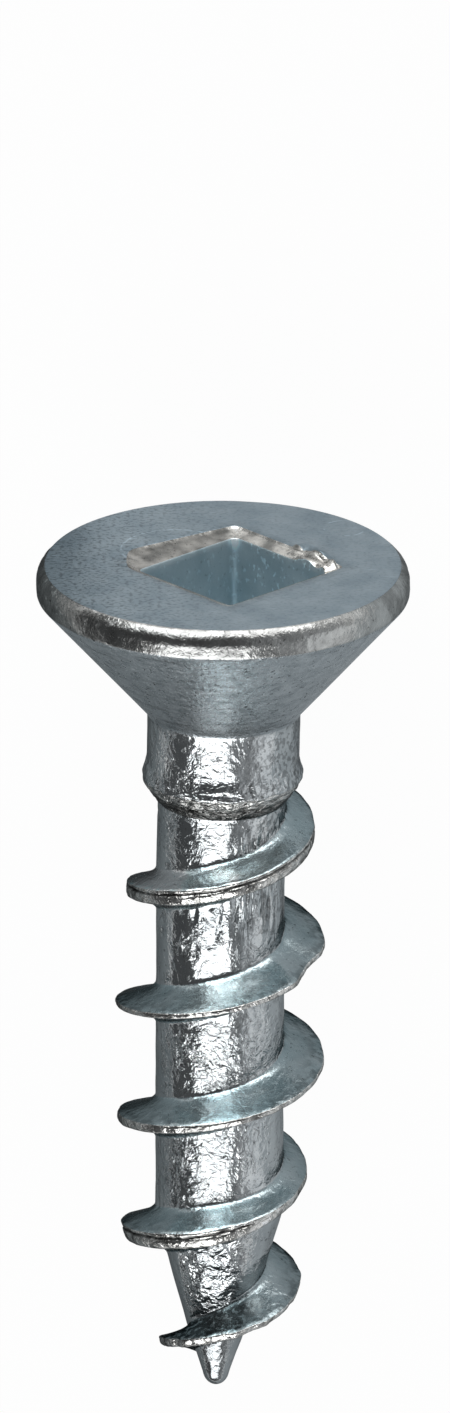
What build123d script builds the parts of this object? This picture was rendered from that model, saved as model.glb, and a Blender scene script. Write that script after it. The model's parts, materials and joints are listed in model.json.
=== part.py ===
from build123d import *
import math
import os

# Flat head wood screw with a square recess, lying on its side as it comes to rest.
# Millimetres. The screw is first built upright on its own axis: the flat of the head
# is at height 0, the point is below it, and -Y is the side that is uppermost at rest.

# Driving dimensions: the blank.
screw_length = 19.05
head_diameter = 8.0
rim_edge_inset = 0.19
rim_straight = 0.24
rim_bottom_depth = 0.60
rim_bottom_round = 0.10
countersink_angle = 82.0
neck_diameter = 3.29
neck_round = 0.22
flare_start_depth = 4.42
lip_depth = 4.80
lip_diameter = 3.48
lip_round = 0.10
lip_foot_depth = 5.16
lip_foot_diameter = 3.10
core_start_depth = 5.34
core_diameter = 2.76
point_half_angle = 15.4
point_diameter = 0.66

# Driving dimensions: the thread, one right-hand start.
pitch = 2.65
first_crest_depth = 6.10
crest_diameter = 4.50
flank_angle = 20.0
sharp_crest_width = 0.11
rolled_crest_width = 0.30
first_rolled_until = 0.45
later_rolled_from = -1.97
later_rolled_until = -1.22
rolled_blend_turns = 0.35
root_foot_height = 0.10
root_foot_spread = 0.12
root_bury = 0.10
end_bury = 0.06
foot_end_bury = 0.16
run_in_start = -0.62
run_in_turns = 0.50
thread_end_gap = 0.44
run_out_turns = 0.20

# How high the thread stands over the core, as (turn, share of the full height). Turns
# are counted down from the first crest on the +X side, and the later ones back from
# the thread's end. The first turn and a later one are rolled over, and so are lower.
first_heights = [(0.00, 0.72), (0.60, 0.74), (1.00, 1.00)]
later_heights = [
    (-2.32, 0.97),
    (-1.72, 0.59),
    (-1.27, 0.93),
    (-0.97, 0.83),
    (-0.72, 1.03),
    (-0.22, 0.75),
    (0.00, 0.60),
]
spans_per_turn = 2
stations_per_span = 8
crest_steps_per_turn = 72

# Driving dimensions: the square recess.
recess_width = 2.84
recess_depth = 2.30
recess_draft = 2.0
recess_corner = 0.12
mouth_width = 3.18
mouth_depth = 0.20
recess_floor_depth = 0.45
recess_floor_tip = 0.10
recess_turn = 43.5
recess_offset_x = 0.20
recess_offset_y = -0.06

# How the screw lies: the side that is tried as the underside, and how far round it
# may be turned from there to the nearest roll in which it is steady.
underside_angle = 90.0
steady_search = 60

# Sizes that follow from the driving ones.
head_radius = head_diameter / 2
face_radius = head_radius - rim_edge_inset
neck_radius = neck_diameter / 2
core_radius = core_diameter / 2
point_radius = point_diameter / 2
cone_slope = math.tan(math.radians(countersink_angle / 2))
cone_end_depth = rim_bottom_depth + (head_radius - neck_radius) / cone_slope
rim_round_depth = rim_bottom_depth - rim_straight
rim_turn = math.radians(countersink_angle / 4)
rim_touch_depth = rim_bottom_depth - rim_bottom_round * math.tan(rim_turn)
point_angle = math.radians(point_half_angle)
point_touch_radius = point_radius * math.cos(point_angle)
point_touch_depth = screw_length - point_radius * (1 - math.sin(point_angle))
taper_length = (core_radius - point_touch_radius) / math.tan(point_angle)
taper_start_depth = point_touch_depth - taper_length
last_turn = (screw_length - thread_end_gap - first_crest_depth) / pitch
thread_turns = last_turn - run_in_start
crest_height = crest_diameter / 2 - core_radius
height_course = first_heights + [(last_turn + turn, share) for turn, share in later_heights]


def ease(value):
    """Rise smoothly from 0 to 1 while value goes from 0 to 1."""
    value = min(max(value, 0.0), 1.0)
    return value * value * (3 - 2 * value)


def core_radius_at(depth):
    """Radius of the core under the thread, which tapers to the point."""
    tapered = core_radius - max(depth - taper_start_depth, 0.0) * math.tan(point_angle)
    return max(tapered, point_touch_radius)


def crest_depth_at(turn):
    """Depth of the middle of the crest below the flat of the head."""
    return first_crest_depth + pitch * turn


def height_share(turn):
    """Share of the full height at one place, eased from each listed place to the next."""
    earlier = [item for item in height_course if item[0] <= turn] or height_course[:1]
    later = [item for item in height_course if item[0] > turn] or height_course[-1:]
    (turn_a, share_a), (turn_b, share_b) = earlier[-1], later[0]
    way = (turn - turn_a) / (turn_b - turn_a) if turn_b > turn_a else 0.0
    return share_a + (share_b - share_a) * ease(way)


def rolled_share(turn):
    """How much of the rolled-over crest form the thread has here, 0 to 1."""
    first = 1 - ease((turn - first_rolled_until) / rolled_blend_turns)
    later = ease((turn - last_turn - later_rolled_from) / rolled_blend_turns)
    later -= ease((turn - last_turn - later_rolled_until) / rolled_blend_turns)
    return first + later


def thread_share(turn):
    """How far the thread stands out here: 0 at its two ends, 1 between them."""
    run_in = ease((turn - run_in_start) / run_in_turns)
    run_out = ease((last_turn - turn) / run_out_turns)
    return run_in * run_out


def crest_radius_at(turn):
    """Crest radius, sunk into the core at the two ends of the thread."""
    sunk = core_radius_at(crest_depth_at(turn)) - end_bury
    rise = crest_height * height_share(turn) + end_bury
    return sunk + rise * thread_share(turn)


def crest_width_at(turn):
    """Width of the crest: sharp, or broad where it is rolled over."""
    share = rolled_share(turn)
    return sharp_crest_width + (rolled_crest_width - sharp_crest_width) * share


def thread_section(turn):
    """Corner points (radius, depth) of the thread at one place, lower side first."""
    depth = crest_depth_at(turn)
    crest = crest_radius_at(turn)
    half_crest = crest_width_at(turn) / 2
    core = core_radius_at(depth)
    sunk_foot = core - foot_end_bury
    foot = sunk_foot + (core + root_foot_height - sunk_foot) * thread_share(turn)
    half_foot = half_crest + (crest - foot) * math.tan(math.radians(flank_angle))
    bury = min(core, foot) - root_bury
    reach = half_foot + root_foot_spread
    lower = [(bury, depth + reach), (foot, depth + half_foot), (crest, depth + half_crest)]
    upper = [(crest, depth - half_crest), (foot, depth - half_foot), (bury, depth - reach)]
    return lower + upper


def on_helix(radius, depth, turn):
    """Point at a radius and depth, with the right-hand thread's own direction."""
    angle = -2 * math.pi * turn
    return Vector(radius * math.cos(angle), radius * math.sin(angle), -depth)


def section_points(turn):
    """Corner points of the thread's section at one place round the screw."""
    return [on_helix(radius, depth, turn) for radius, depth in thread_section(turn)]


def section_directions(turn):
    """Direction in which each corner of the section runs on at one place."""
    step = 0.0001
    before = section_points(max(turn - step, run_in_start))
    after = section_points(min(turn + step, last_turn))
    return [(b - a).normalized() for a, b in zip(before, after)]


def make_blank():
    """Head, neck and core as one revolved profile."""
    rim_top = (head_radius, -rim_round_depth)
    rim_corner = (head_radius, -rim_bottom_depth)
    neck_corner = (neck_radius, -cone_end_depth)
    lip_corner = (lip_diameter / 2, -lip_depth)
    point_touch = (point_touch_radius, -point_touch_depth)
    side = [
        rim_top,
        rim_corner,
        neck_corner,
        (neck_radius, -flare_start_depth),
        lip_corner,
        (lip_foot_diameter / 2, -lip_foot_depth),
        (core_radius, -core_start_depth),
        (core_radius, -taper_start_depth),
        point_touch,
    ]
    taper_direction = (-math.sin(point_angle), -math.cos(point_angle))
    with BuildPart() as blank:
        with BuildSketch(Plane.XZ):
            with BuildLine():
                Line((0, 0), (face_radius, 0))
                TangentArc(rim_top, (face_radius, 0), tangent=(0, 1))
                Polyline(*side)
                TangentArc(point_touch, (0, -screw_length), tangent=taper_direction)
                Line((0, -screw_length), (0, 0))
            make_face()
            corners = vertices()
            rounds = [
                (rim_corner, rim_bottom_round),
                (neck_corner, neck_round),
                (lip_corner, lip_round),
            ]
            for (radius, height), size in rounds:
                corner = corners.sort_by_distance((radius, 0, height))[0]
                fillet(corner, size)
        revolve(axis=Axis.Z)
    return blank.part


def make_thread():
    """Ridge of the thread: ruled strips between helical edges, closed by two ends."""
    span_count = round(thread_turns * spans_per_turn)
    station_count = span_count * stations_per_span
    step = thread_turns / station_count
    turns = [run_in_start + step * i for i in range(station_count + 1)]
    sections = [section_points(turn) for turn in turns]
    corner_count = len(sections[0])
    faces = []
    for first in range(0, station_count, stations_per_span):
        last = first + stations_per_span
        starts = section_directions(turns[first])
        finishes = section_directions(turns[last])
        edges = [
            Edge.make_spline(
                [section[k] for section in sections[first : last + 1]],
                tangents=[starts[k], finishes[k]],
            )
            for k in range(corner_count)
        ]
        for k in range(corner_count):
            next_edge = edges[(k + 1) % corner_count]
            faces.append(Face.make_surface_from_curves(edges[k], next_edge))
    for section in (sections[0], sections[-1]):
        faces.append(Face(Wire.make_polygon(section, close=True)))
    return Solid(Shell(faces))


def make_recess():
    """Square recess: flared mouth, slightly drafted walls and a shallow cone floor."""
    floor_width = recess_width - 2 * recess_depth * math.tan(math.radians(recess_draft))
    place = Location((recess_offset_x, recess_offset_y, 0), (0, 0, recess_turn))
    with BuildPart() as recess:
        with BuildSketch(Plane.XY):
            RectangleRounded(recess_width, recess_width, recess_corner)
        with BuildSketch(Plane.XY.offset(-recess_depth)):
            RectangleRounded(floor_width, floor_width, recess_corner)
        loft()
        with BuildSketch(Plane.XY):
            RectangleRounded(mouth_width, mouth_width, recess_corner)
        with BuildSketch(Plane.XY.offset(-mouth_depth)):
            RectangleRounded(recess_width, recess_width, recess_corner)
        loft()
        with Locations((0, 0, -recess_depth)):
            Cone(
                bottom_radius=recess_floor_tip / 2,
                top_radius=floor_width / 2 - recess_corner,
                height=recess_floor_depth,
                align=(Align.CENTER, Align.CENTER, Align.MAX),
            )
    return place * recess.part


def resting_slope(side):
    """Slope of the floor against the axis when this side of the screw is underneath.

    The rim of the head and the first thread crest that is reached carry the screw.
    """
    slopes = []
    crest_steps = round(thread_turns * crest_steps_per_turn)
    for i in range(crest_steps + 1):
        turn = run_in_start + i / crest_steps_per_turn
        off_side = math.radians(-360 * turn - side)
        hang = crest_radius_at(turn) * math.cos(off_side)
        reach = crest_depth_at(turn) + crest_width_at(turn) / 2 - rim_touch_depth
        slopes.append((head_radius - hang) / reach)
    return min(slopes)


def steady_side():
    """Side on which the screw lies lowest, near the one that is to be the underside."""
    tries = [underside_angle + i for i in range(-steady_search, steady_search + 1)]
    return max(tries, key=resting_slope)


def make_screw():
    """The whole screw, upright on its own axis."""
    return (make_blank() - make_recess()) + make_thread()


def resting_place(upright, side, tilt):
    """Where the screw lies: head towards +X, point low towards -X, lowest point at 0."""
    turned = Location((0, 0, 0), (0, 90 - tilt, 0)) * Location((0, 0, 0), (0, 0, -side))
    box = (turned * upright).bounding_box()
    middle = box.center()
    return Location((-middle.X, -middle.Y, -box.min.Z)) * turned


upright_screw = make_screw()
screw_side = steady_side()
screw_tilt = math.degrees(math.atan(resting_slope(screw_side)))
screw_place = resting_place(upright_screw, screw_side, screw_tilt)
screw = screw_place * upright_screw
screw.label = "screw"
os.makedirs("parts", exist_ok=True)
export_step(screw, "parts/screw.step")
print(f"underside {screw_side:.1f} degrees round, axis {screw_tilt:.2f} degrees off level")
print(f"volume {screw.volume:.2f} cubic mm, solids {len(screw.solids())}")
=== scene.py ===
# %% [markdown]
# # A flat head wood screw with a square recess
# This lesson dresses a small zinc plated wood screw. Its solid is already made and lies at rest, so the
# first step is to load it as a fixed frame. The visible skin could be shaped freely beside it, but would
# then drift from the real sizes. So everything that follows is measured from the frame, and the box round
# the frame is kept, so that the finished piece can be held inside it at the end.

# %% Load the frame
import bmesh
import bpy
import json
import math
from mathutils import Matrix, Vector
from mathutils import noise as soft_noise


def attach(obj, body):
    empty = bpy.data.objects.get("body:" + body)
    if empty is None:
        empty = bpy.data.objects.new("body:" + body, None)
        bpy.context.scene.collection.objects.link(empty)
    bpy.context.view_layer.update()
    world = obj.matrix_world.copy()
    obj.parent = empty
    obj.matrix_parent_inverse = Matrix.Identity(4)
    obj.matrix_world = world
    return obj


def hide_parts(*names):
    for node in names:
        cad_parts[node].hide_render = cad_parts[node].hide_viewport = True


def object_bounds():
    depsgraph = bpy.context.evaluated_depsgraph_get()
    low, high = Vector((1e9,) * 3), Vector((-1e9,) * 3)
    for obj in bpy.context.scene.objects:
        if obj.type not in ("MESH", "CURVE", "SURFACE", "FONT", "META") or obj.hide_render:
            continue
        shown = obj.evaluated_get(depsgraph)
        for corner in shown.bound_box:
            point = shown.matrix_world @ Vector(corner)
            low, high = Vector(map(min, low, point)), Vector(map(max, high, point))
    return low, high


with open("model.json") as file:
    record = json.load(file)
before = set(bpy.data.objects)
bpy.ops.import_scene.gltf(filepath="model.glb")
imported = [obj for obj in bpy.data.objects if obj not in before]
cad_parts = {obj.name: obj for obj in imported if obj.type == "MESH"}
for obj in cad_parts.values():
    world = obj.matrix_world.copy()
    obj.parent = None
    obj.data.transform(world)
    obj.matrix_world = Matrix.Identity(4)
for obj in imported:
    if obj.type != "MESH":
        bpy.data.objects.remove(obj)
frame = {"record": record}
frame_low, frame_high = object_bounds()
print("frame box, mm:", [round(v * 1000, 2) for v in frame_high - frame_low])

# %% [markdown]
# ## Where the screw lies
# A screw is easiest to shape upright: the flat of its head at height 0, its point below, millimetres
# throughout. The frame's interfaces say where the head's face and the cone really are, so one matrix
# carries the upright screw to the place where it lies. The side that faces up at rest is called its front.

# %% Find the screw's own axes
MM = 0.001
interfaces = {mount["name"]: mount for mount in frame["record"]["mounts"]}
face_point = Vector(interfaces["head_face"]["pos_m"])
cone_point = Vector(interfaces["countersink"]["pos_m"])
to_point = Vector(interfaces["countersink"]["axis"]).normalized()
face_centre = cone_point + to_point * (face_point - cone_point).dot(to_point)
to_front = (face_point - face_centre).normalized()
to_head = -to_point
to_right = to_head.cross(to_front)
turn_only = Matrix((to_right, -to_front, to_head)).transposed()
screw_place = Matrix.Translation(face_centre) @ turn_only.to_4x4() @ Matrix.Scale(MM, 4)
print("head's face at, mm:", [round(v * 1000, 2) for v in face_centre])
print("axis off level, degrees:", round(math.degrees(math.asin(to_head.z)), 2))

# %% [markdown]
# ## Sums with node sockets
# A thread and a plated finish both follow rules with many terms. In the node editor such a rule is a web of
# Math nodes, which is hard to read as code. A small class lets a socket be used in ordinary sums instead,
# and each sum adds the Math node that does it. Its helpers feed a node: a number is written into the
# socket, and what comes from another node is linked.

# %% Helpers for nodes and their sums
class Field:
    """A number socket of a node tree that can be added, multiplied and so on."""

    def __init__(self, socket):
        self.socket = socket

    def do(self, operation, *others):
        """Any Math node, with this number as its first input."""
        node = add(self.socket.id_data, "ShaderNodeMath", dict(enumerate((self, *others))))
        node.operation = operation
        return Field(node.outputs[0])

    def __add__(self, other):
        return self.do("ADD", other)

    def __sub__(self, other):
        return self.do("SUBTRACT", other)

    def __mul__(self, other):
        return self.do("MULTIPLY", other)

    def __truediv__(self, other):
        return self.do("DIVIDE", other)

    def clipped(self, low=0.0, high=1.0):
        """The number, held between two others."""
        return self.do("MAXIMUM", low).do("MINIMUM", high)

    def eased(self, start, stop):
        """Rise smoothly from 0 to 1 as the number goes from start to stop."""
        inputs = {"Value": self, "From Min": start, "From Max": stop}
        node = add(self.socket.id_data, "ShaderNodeMapRange", inputs)
        node.interpolation_type = "SMOOTHSTEP"
        return Field(node.outputs["Result"])


def feed(value, socket):
    """Link a field or another socket to a socket, or write a plain value into it."""
    source = value.socket if isinstance(value, Field) else value
    if isinstance(source, bpy.types.NodeSocket):
        socket.id_data.links.new(source, socket)
    else:
        socket.default_value = source


def feed_all(node, inputs):
    """Feed some inputs of a node, each known by its name or its place."""
    for place, value in inputs.items():
        feed(value, node.inputs[place])


def add(tree, kind, inputs):
    """Add a node of one kind to a tree and feed its inputs."""
    node = tree.nodes.new(kind)
    feed_all(node, inputs)
    return node


print("node sums ready")

# %% [markdown]
# ## The screw's sizes
# These are the sizes of a common number 8 wood screw, three quarters of an inch long, with a recess for a
# square bit. Head and thread are made in different ways but have to meet, so both read the same named
# millimetres. Depths are counted down from the flat of the head.

# %% Sizes in millimetres
LENGTH = 19.05
HEAD_RADIUS = 4.0
FACE_RADIUS = 3.81
RIM_ROUND_DEPTH = 0.36
RIM_DEPTH = 0.60
CONE_HALF_ANGLE = math.radians(41)
NECK_RADIUS = 1.645
CONE_END_DEPTH = RIM_DEPTH + (HEAD_RADIUS - NECK_RADIUS) / math.tan(CONE_HALF_ANGLE)
CORE_RADIUS = 1.38
CORE_TOP = 5.34
PITCH = 2.65
FIRST_CREST = 6.10
CREST_RADIUS = 2.25
FULL_RIDGE = CREST_RADIUS - CORE_RADIUS
POINT_RADIUS = 0.33
POINT_ANGLE = math.radians(15.4)
POINT_TOUCH_RADIUS = POINT_RADIUS * math.cos(POINT_ANGLE)
POINT_TOUCH_DEPTH = LENGTH - POINT_RADIUS * (1 - math.sin(POINT_ANGLE))
TAPER_START = POINT_TOUCH_DEPTH - (CORE_RADIUS - POINT_TOUCH_RADIUS) / math.tan(POINT_ANGLE)
RECESS_CENTRE = Vector((0.20, -0.06, 0.0))
RECESS_TURN = math.radians(43.5)
print("taper starts", round(TAPER_START, 2), "mm below the face")

# %% [markdown]
# ## The finishes
# Bright zinc looks different on each surface of one screw. The face of the head was pressed flat and is
# matt and blue-grey. Rolling polished and wrinkled the core, and the flanks of the thread stay satin. One
# material could not tell them apart, so the plating gets several, all from one recipe. Every pattern in it
# is noise on the screw's own upright millimetres, so that a streak can run round the axis or along it.

# %% A spot on the plating
class Spot:
    """The place that a finish is asked about: to the right, to the back and down, in millimetres."""

    def __init__(self, tree):
        self.tree = tree
        upright = add(tree, "ShaderNodeMapping", {
            "Vector": tree.nodes.new("ShaderNodeTexCoord").outputs["Object"],
            "Location": face_centre,
            "Rotation": turn_only.to_euler(),
            "Scale": (MM, MM, MM),
        })
        upright.vector_type = "TEXTURE"
        self.place = upright.outputs["Vector"]
        apart = add(tree, "ShaderNodeSeparateXYZ", {0: self.place})
        self.side = Field(apart.outputs["X"])
        self.back = Field(apart.outputs["Y"])
        self.depth = Field(apart.outputs["Z"]) * -1.0

    def grain(self, grains, detail=3.0, swirl=0.0):
        """Noise with some grains per millimetre: one number, or one for each direction."""
        each_way = grains if isinstance(grains, tuple) else (grains, grains, grains)
        spread = add(self.tree, "ShaderNodeMapping", {"Vector": self.place, "Scale": each_way})
        noise = add(self.tree, "ShaderNodeTexNoise", {
            "Vector": spread.outputs["Vector"],
            "Scale": 1.0,
            "Detail": detail,
            "Distortion": swirl,
        })
        return Field(noise.outputs["Fac"])

    def measured(self, name):
        """A number that was kept on the mesh's points."""
        node = self.tree.nodes.new("ShaderNodeAttribute")
        node.attribute_name = name
        return Field(node.outputs["Fac"])


print("spots are measured from the middle of the head's face")

# %% [markdown]
# ## Colour and bumps
# Three small helpers serve every finish. A Color Ramp turns noise into a colour between two others, a
# Vector Math node set to Scale darkens it, and a Bump node tilts the surface without moving it, which is
# enough for marks that are finer than the mesh.

# %% Helpers for colour and bumps
def ramp_on(tree, value, stops):
    """Colours from a number, as (position, colour) stops."""
    ramp = add(tree, "ShaderNodeValToRGB", {"Fac": value})
    for element, (position, colour) in zip(ramp.color_ramp.elements, stops):
        element.position = position
        element.color = (*colour, 1.0)
    return ramp.outputs["Color"]


def dimmed(tree, colour, share):
    """A colour made darker by a number: 1 leaves it, 0 is black."""
    scale = tree.nodes.new("ShaderNodeVectorMath")
    scale.operation = "SCALE"
    feed_all(scale, {0: colour, "Scale": share})
    return scale.outputs[0]


def bump_on(tree, height, depth, under=None):
    """Bumps of a real depth in millimetres, on top of other bumps if there are any."""
    node = add(tree, "ShaderNodeBump", {"Distance": depth * MM, "Height": height})
    if under is not None:
        feed(under, node.inputs["Normal"])
    return node.outputs["Normal"]


def bump(grains, depth, swirl=0.0, relief=None):
    """One layer of bumps for the recipe. A relief is a rule that says where the layer is strong."""
    return grains, depth, swirl, relief


print("colour and bump helpers ready")

# %% [markdown]
# ## The plating recipe
# Two things make plated metal look real. The thin coat over the zinc mirrors less where light grazes it. A
# metal shader has a number for that, Specular Tint, and a low one darkens the edges of each round form. And
# a plated surface is full of tiny pits, so fine noise that is cut off hard darkens a small share of it.

# %% The plating recipe
PIT_GRAINS = 11.0


def plating(name, dark, light, shine, grains, bumps, slant, pits, wear_and_painted_light, metal=1.0):
    """One zinc finish. Colour lies between dark and light, roughness between the two numbers of shine.

    slant is how much is mirrored at a slant, pits is how dark the pits are, wear is a rule for worn places
    and for painted light and shade.
    """
    material = bpy.data.materials.new(name)
    material.use_nodes = True
    tree = material.node_tree
    spot = Spot(tree)
    cloud = spot.grain(grains, detail=5.0)
    pitted = spot.grain(PIT_GRAINS, detail=2.0).eased(0.62, 0.74)
    # The rule for worn places also carries painted light and shade for several finishes.
    share = (pitted * -pits + 1.0) * wear_and_painted_light(spot)
    smooth, rough = shine
    roughness = (cloud - 0.5) * (smooth - rough) + (smooth + rough) / 2
    normal = None
    for bump_grains, depth, swirl, relief in bumps:
        height = spot.grain(bump_grains, swirl=swirl)
        if relief is not None:
            height = (height - 0.5) * relief(spot)
        normal = bump_on(tree, height, depth, under=normal)
    colour = ramp_on(tree, cloud, [(0.33, dark), (0.67, light)])
    feed_all(tree.nodes["Principled BSDF"], {
        "Metallic": metal,
        "Specular Tint": (slant, slant, slant, 1.0),
        "Base Color": dimmed(tree, colour, share),
        "Roughness": roughness + pitted * 0.10,
        "Normal": normal,
    })
    return material


print("one recipe, with pits about", round(1 / PIT_GRAINS, 2), "mm wide")

# %% [markdown]
# ## The face and the recess
# The press left scale marks on the face, most of them on its left, and the punch left a dark halo round the
# recess and a few curved scratches. A painted highlight draws a bright line in the far corner of the walls.
# An image could hold such marks, but it would have to be unwrapped and drawn. A rule for each mark needs no
# image and stays sharp.

# %% Finishes of the face and the recess
def ring_line(spot, centre, radius, width):
    """1 on a thin circle in the plane of the head, 0 beside it."""
    across = (spot.side - centre[0]).do("POWER", 2.0)
    away = (spot.back - centre[1]).do("POWER", 2.0)
    return ((across + away).do("SQRT") - radius).do("ABSOLUTE").eased(width, width * 0.3)


def recess_reach(spot):
    """Distance from the middle of the recess, straight across its nearest wall."""
    x = spot.side - RECESS_CENTRE.x
    y = spot.back - RECESS_CENTRE.y
    cosine = math.cos(RECESS_TURN)
    sine = math.sin(RECESS_TURN)
    across = (x * cosine + y * sine).do("ABSOLUTE")
    along = (y * cosine - x * sine).do("ABSOLUTE")
    return across.do("MAXIMUM", along)


def corner_painted_highlight(spot, width):
    """1 along the far corner of the recess, where a painted highlight draws a bright line."""
    streak = spot.grain((14.0, 14.0, 2.0), detail=2.0).eased(0.35, 0.6)
    return (spot.side - 0.25).do("ABSOLUTE").eased(width, width * 0.2) * (streak * 0.6 + 0.4)


def face_wear(spot):
    """Dark specks of scale, most of them on the left, scratches, arcs and the halo round the recess."""
    left = spot.side.eased(1.0, -3.4) * 0.75 + 0.25
    speck = spot.grain((10.0, 14.0, 8.0), detail=4.0).eased(0.51, 0.60)
    scratch = spot.grain((1.2, 16.0, 1.0), detail=2.0).eased(0.66, 0.72)
    broken = spot.grain(3.0, detail=2.0).eased(0.46, 0.54)
    arcs = ring_line(spot, (-1.0, 0.9), 1.18, 0.035) + ring_line(spot, (2.6, 2.2), 0.45, 0.03)
    halo = recess_reach(spot).eased(2.00, 1.68) * (broken * 0.5 + 0.5)
    return left * (speck * -0.50 + 0.10) + halo * -0.26 + 1.05 + scratch * 0.25 + arcs * broken * 0.45


def wall_painted_highlights(spot):
    """Painted highlights: the walls are even but for a bright line in the far corner, brightest at its top,
    and painted glints, more of them on the right.
    """
    corner = corner_painted_highlight(spot, 0.10) * 0.35
    corner = corner + corner_painted_highlight(spot, 0.22) * spot.depth.eased(0.45, 0.15) * 0.9
    grains = spot.grain((9.0, 9.0, 6.0)).eased(0.58, 0.68)
    return corner + grains * (spot.side.eased(0.2, 0.8) * 0.35 + 0.20) + 0.95


def mouth_painted_highlights(spot):
    """Painted highlights: the mouth is brightest in the far corner and on the right, under the burr."""
    return corner_painted_highlight(spot, 0.28) * 0.9 + spot.side.eased(0.3, 0.6) * 0.60 + 0.86


face_finish = plating(
    "zinc_face",
    dark=(0.255, 0.322, 0.368),
    light=(0.345, 0.415, 0.46),
    shine=(0.38, 0.50),
    grains=1.2,
    bumps=[bump(7.0, 0.010), bump(1.6, 0.012, swirl=0.5)],
    slant=0.95,
    pits=0.20,
    wear_and_painted_light=face_wear,
)
wall_finish = plating(
    "zinc_recess_wall",
    dark=(0.48, 0.60, 0.65),
    light=(0.66, 0.76, 0.80),
    shine=(0.34, 0.46),
    grains=1.2,
    bumps=[bump((4.0, 4.0, 3.0), 0.014, swirl=0.4)],
    slant=0.90,
    pits=0.2,
    metal=0.7,
    wear_and_painted_light=wall_painted_highlights,
)
mouth_finish = plating(
    "zinc_recess_mouth",
    dark=(0.20, 0.20, 0.19),
    light=(0.66, 0.64, 0.60),
    shine=(0.20, 0.32),
    grains=2.5,
    bumps=[bump(6.0, 0.016, swirl=0.5)],
    slant=0.90,
    pits=0.5,
    wear_and_painted_light=mouth_painted_highlights,
)
print("made:", face_finish.name, wall_finish.name, mouth_finish.name)

# %% [markdown]
# ## The rim and the cone
# The rounded rim is smooth and mirrors the lights in thin lines, with small dents. Painted shade darkens its
# left, which painted glints sprinkle. The cone was pressed in a die and keeps fine dark lines that run round
# it, and painted light makes its left and its top lighter. Such lines could be drawn as a wave pattern, but
# that would be too regular. Noise with few grains round the axis and many along it gives uneven ones.

# %% Finishes of the rim and the cone
def rim_painted_shade_and_glints(spot):
    """Painted shade: the rim is darker on the left and lighter on the right, and painted glints sprinkle its
    left.
    """
    spark = spot.grain((5.0, 5.0, 7.0)).eased(0.56, 0.66) * spot.side.eased(-1.0, -2.6)
    return spot.side.eased(-HEAD_RADIUS * 0.9, HEAD_RADIUS * 0.9) * 0.42 + 0.79 + spark * 0.7


def cone_lines_and_painted_light(spot):
    """Painted light makes the cone lighter on its left and under the rim; it has fine dark lines round it.
    """
    line = spot.grain((0.9, 0.9, 11.0), detail=4.0).eased(0.55, 0.66)
    left = spot.side.eased(-0.8, -2.2) * 0.16
    upper = spot.depth.eased(2.4, 0.9) * 0.14
    return (left + upper + 0.91) * (line * spot.side.eased(1.6, -1.0) * -0.30 + 1.0)


rim_finish = plating(
    "zinc_rim",
    dark=(0.37, 0.37, 0.36),
    light=(0.66, 0.66, 0.64),
    shine=(0.16, 0.28),
    grains=3.0,
    bumps=[bump(3.0, 0.014), bump(11.0, 0.012, swirl=0.6)],
    slant=0.34,
    pits=0.60,
    wear_and_painted_light=rim_painted_shade_and_glints,
)
cone_finish = plating(
    "zinc_cone",
    dark=(0.38, 0.42, 0.44),
    light=(0.57, 0.61, 0.63),
    shine=(0.20, 0.32),
    grains=4.0,
    bumps=[bump(9.0, 0.025), bump((0.8, 0.8, 9.0), 0.018)],
    slant=0.85,
    pits=0.80,
    metal=0.88,
    wear_and_painted_light=cone_lines_and_painted_light,
)
print("made:", rim_finish.name, cone_finish.name)

# %% [markdown]
# ## The neck and its ledge
# The neck is the plain wire, shiny, with small dents on its left and a patch of dark pits on its right.
# Below it the rolled metal piled up into a ledge, whose folds are bright, with painted shade in the seams
# between them and a painted shadow line under the ledge. The same recipe does both: the ledge gets much
# deeper bumps, and noise that is stretched round the axis.

# %% Finishes of the neck and the ledge
def neck_relief(spot):
    """The left of the neck has small dents."""
    dented = spot.grain((2.6, 2.6, 2.0), detail=2.0).eased(0.50, 0.60) * spot.side.eased(-0.2, -0.8)
    return dented * 2.4 + 1.0


def foot_relief(spot):
    """The metal is dented where the neck flares into the ledge."""
    return spot.depth.eased(4.22, 4.48)


def neck_wear(spot):
    """The right of the neck has a patch of dark pits."""
    blotch = spot.grain(8.0, detail=4.0).eased(0.48, 0.60)
    return spot.side.eased(0.1, 1.0) * blotch * -0.42 + 1.0


def ledge_painted_shade(spot):
    """Painted shade: dark seams between the folds of the ledge, and a dark line of shadow under it."""
    seam = spot.grain((2.0, 2.0, 9.0), swirl=1.0).eased(0.50, 0.58)
    under = spot.depth.eased(4.98, 5.08)
    return (seam * -0.45 + 1.0) * (under * -0.60 + 1.0)


neck_finish = plating(
    "zinc_neck",
    dark=(0.66, 0.69, 0.70),
    light=(0.86, 0.88, 0.88),
    shine=(0.11, 0.22),
    grains=(2.0, 2.0, 1.5),
    bumps=[
        bump((1.5, 1.5, 0.8), 0.036, swirl=0.5),
        bump((7.0, 7.0, 6.0), 0.018, swirl=0.6, relief=neck_relief),
        bump((3.6, 3.6, 5.0), 0.072, swirl=0.5, relief=foot_relief),
    ],
    slant=0.35,
    pits=0.60,
    wear_and_painted_light=neck_wear,
)
ledge_finish = plating(
    "zinc_ledge",
    dark=(0.70, 0.70, 0.67),
    light=(0.98, 0.97, 0.94),
    shine=(0.12, 0.22),
    grains=(3.0, 3.0, 9.0),
    bumps=[bump((3.2, 3.2, 9.0), 0.110, swirl=1.0), bump(9.0, 0.020, swirl=0.4)],
    slant=0.34,
    pits=0.5,
    wear_and_painted_light=ledge_painted_shade,
)
print("made:", neck_finish.name, ledge_finish.name)

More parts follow.
